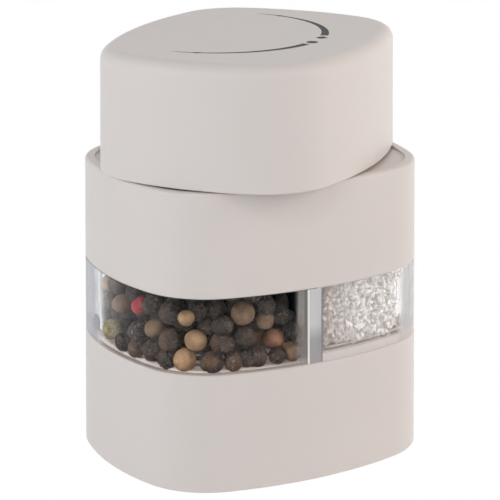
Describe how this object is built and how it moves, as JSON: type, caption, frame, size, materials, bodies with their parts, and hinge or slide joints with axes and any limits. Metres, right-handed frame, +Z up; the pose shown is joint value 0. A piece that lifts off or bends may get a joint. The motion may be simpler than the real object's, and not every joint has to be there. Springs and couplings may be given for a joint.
{
  "type": "salt and pepper mill",
  "caption": "Twist mill for pepper and salt: tapered off-white casing with a clear two-chamber window band and a turning cap that drives two side-by-side burr grinders.",
  "frame": {"origin": "middle of the foot, on the surface it stands on", "axes": "+Z up, X along the long side and the row of grinders, pepper at -X and salt at +X"},
  "size_m": [0.0754, 0.0726, 0.0978],
  "materials": {
    "shell": "satin off-white",
    "clear": "clear plastic",
    "inner": "moulded",
    "steel": "drawn",
    "ceramic": "sintered",
    "peppercorns": "dry and wrinkled",
    "salt": "coarse crystals"
  },
  "bodies": {
    "base": {"lower_shell": "shell", "base_cover": "inner", "body_screws": "steel", "gear_plate": "inner", "spice_container": "clear", "upper_shell": "shell", "pepper_charge": "peppercorns", "salt_charge": "salt", "pepper_spring": "steel", "salt_spring": "steel"},
    "drive": {"drive_shaft": "steel", "shaft_clip": "steel", "pepper_pawl": "inner", "salt_pawl": "inner", "pepper_pinion": "inner", "salt_pinion": "inner"},
    "cap": {"cap_shell": "shell", "cap_insert": "inner", "cap_screws": "steel"},
    "pepper_grinder": {"pepper_gear": "inner", "pepper_ring_burr": "ceramic"},
    "pepper_cone": {"pepper_cone_burr": "ceramic", "pepper_stem": "steel"},
    "pepper_adjuster": {"pepper_knob": "inner"},
    "salt_grinder": {"salt_gear": "inner", "salt_ring_burr": "ceramic"},
    "salt_cone": {"salt_cone_burr": "ceramic", "salt_stem": "steel"},
    "salt_adjuster": {"salt_knob": "inner"}
  },
  "joints": [
    {"name": "shaft_turn", "type": "hinge", "parent": "base", "child": "drive", "pos_m": [0, 0, 0.009], "axis": [0, 0, 1], "continuous": true},
    {"name": "cap_lift", "type": "slide", "parent": "drive", "child": "cap", "axis": [0, 0, 1], "range_m": [0, 0.04]},
    {"name": "pepper_gear_turn", "type": "hinge", "parent": "base", "child": "pepper_grinder", "pos_m": [-0.02, 0, 0.0071], "axis": [0, 0, 1], "continuous": true},
    {"name": "pepper_knob_turn", "type": "hinge", "parent": "base", "child": "pepper_adjuster", "pos_m": [-0.02, 0, 0.00125], "axis": [0, 0, 1], "range_deg": [-270, 270]},
    {"name": "pepper_cone_slide", "type": "slide", "parent": "base", "child": "pepper_cone", "axis": [0, 0, 1], "range_m": [-0.00052, 0.00052], "deforming": ["pepper_spring"]},
    {"name": "salt_gear_turn", "type": "hinge", "parent": "base", "child": "salt_grinder", "pos_m": [0.02, 0, 0.0071], "axis": [0, 0, 1], "continuous": true},
    {"name": "salt_knob_turn", "type": "hinge", "parent": "base", "child": "salt_adjuster", "pos_m": [0.02, 0, 0.00125], "axis": [0, 0, 1], "range_deg": [-270, 270]},
    {"name": "salt_cone_slide", "type": "slide", "parent": "base", "child": "salt_cone", "axis": [0, 0, 1], "range_m": [-0.00052, 0.00052], "deforming": ["salt_spring"]}
  ],
  "couplings": [
    {"joint": "pepper_gear_turn", "follows": "shaft_turn", "ratio": -0.66667},
    {"joint": "pepper_knob_turn", "follows": "pepper_cone_slide", "rad_per_m": -8976},
    {"joint": "salt_gear_turn", "follows": "shaft_turn", "ratio": -0.66667},
    {"joint": "salt_knob_turn", "follows": "salt_cone_slide", "rad_per_m": -8976}
  ]
}
